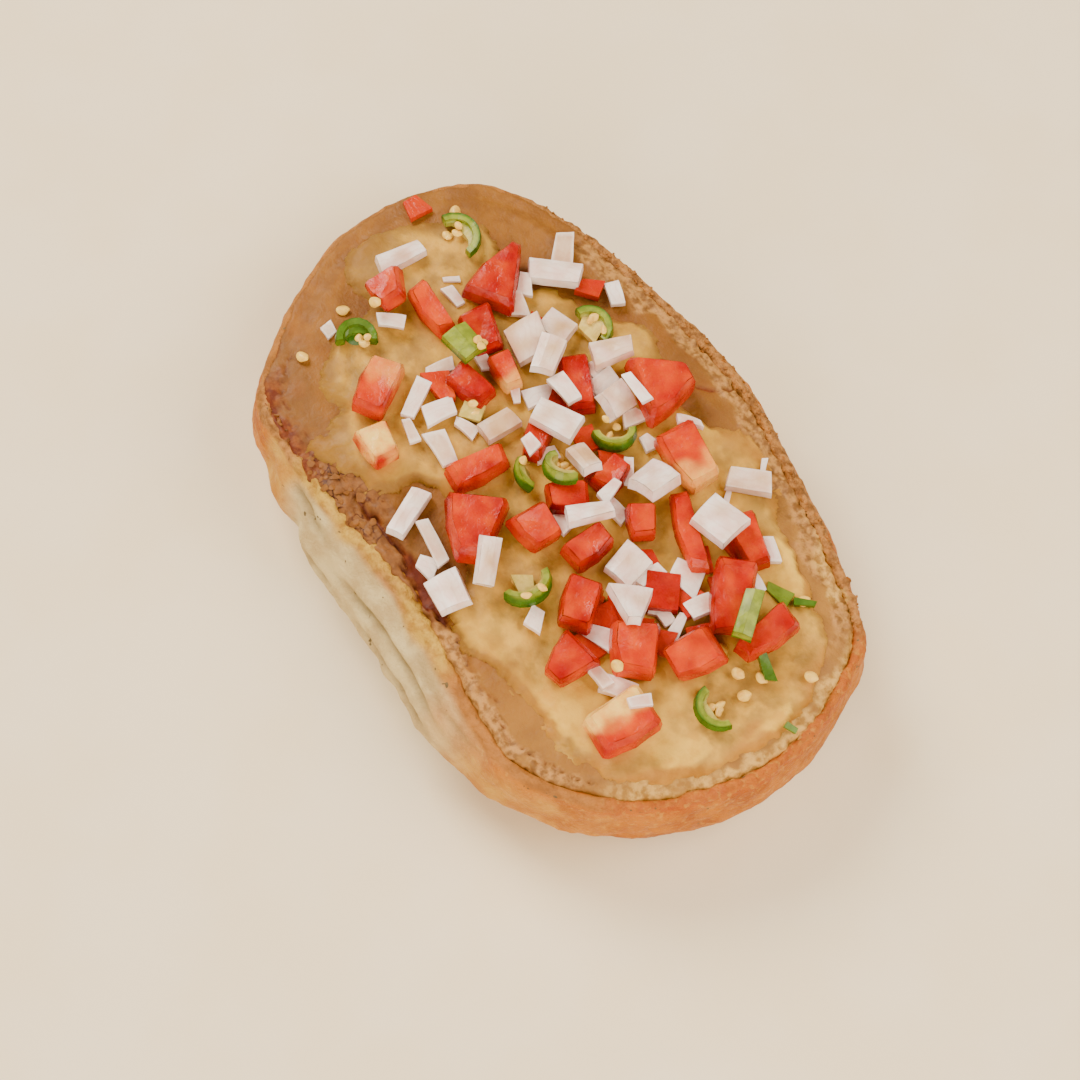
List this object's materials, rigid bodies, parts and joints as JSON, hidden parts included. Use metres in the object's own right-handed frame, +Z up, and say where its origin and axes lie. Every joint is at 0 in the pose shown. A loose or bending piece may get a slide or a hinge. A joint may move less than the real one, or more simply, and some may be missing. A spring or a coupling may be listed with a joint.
{
  "type": "mollete",
  "caption": "Open-faced half of a crusty white roll with refried beans, melted cheese and diced tomato, onion and green chile",
  "frame": {"origin": "centre of the bounding box in plan, on the surface that the roll's flat base rests on", "axes": "+X along the roll's length, +Y across it towards the side away from the pale bulging crust, +Z up through the toppings"},
  "size_m": [0.1644, 0.1076, 0.0422],
  "materials": {
    "crust": "baked crust, satin, floury and pale along one side",
    "beans": "mashed refried beans, soft satin, cracked where dry",
    "cheese": "melted cheese, smooth, moist and slightly see-through",
    "tomato": "cut raw tomato, wet",
    "onion": "cut raw white onion, wet and slightly see-through",
    "chile": "sliced raw green chile, glossy skin, paler flesh"
  },
  "bodies": {
    "root": {"bread": "crust", "beans": "beans", "cheese": "cheese", "tomato_01": "tomato", "tomato_02": "tomato", "tomato_03": "tomato", "tomato_04": "tomato", "tomato_05": "tomato", "tomato_06": "tomato", "tomato_07": "tomato", "tomato_08": "tomato", "tomato_09": "tomato", "tomato_10": "tomato", "tomato_11": "tomato", "tomato_12": "tomato", "tomato_13": "tomato", "tomato_14": "tomato", "tomato_15": "tomato", "tomato_16": "tomato", "tomato_17": "tomato", "tomato_18": "tomato", "tomato_19": "tomato", "tomato_20": "tomato", "tomato_21": "tomato", "tomato_22": "tomato", "tomato_23": "tomato", "tomato_24": "tomato", "tomato_25": "tomato", "tomato_26": "tomato", "tomato_27": "tomato", "tomato_28": "tomato", "onion_01": "onion", "onion_02": "onion", "onion_03": "onion", "onion_04": "onion", "onion_05": "onion", "onion_06": "onion", "onion_07": "onion", "onion_08": "onion", "onion_09": "onion", "onion_10": "onion", "onion_11": "onion", "onion_12": "onion", "onion_13": "onion", "onion_14": "onion", "onion_15": "onion", "onion_16": "onion", "onion_17": "onion", "onion_18": "onion", "onion_19": "onion", "chile_01": "chile", "chile_02": "chile", "chile_03": "chile", "chile_04": "chile", "chile_05": "chile", "chile_06": "chile", "chile_07": "chile", "chile_08": "chile", "chile_09": "chile", "chile_10": "chile"}
  },
  "joints": []
}
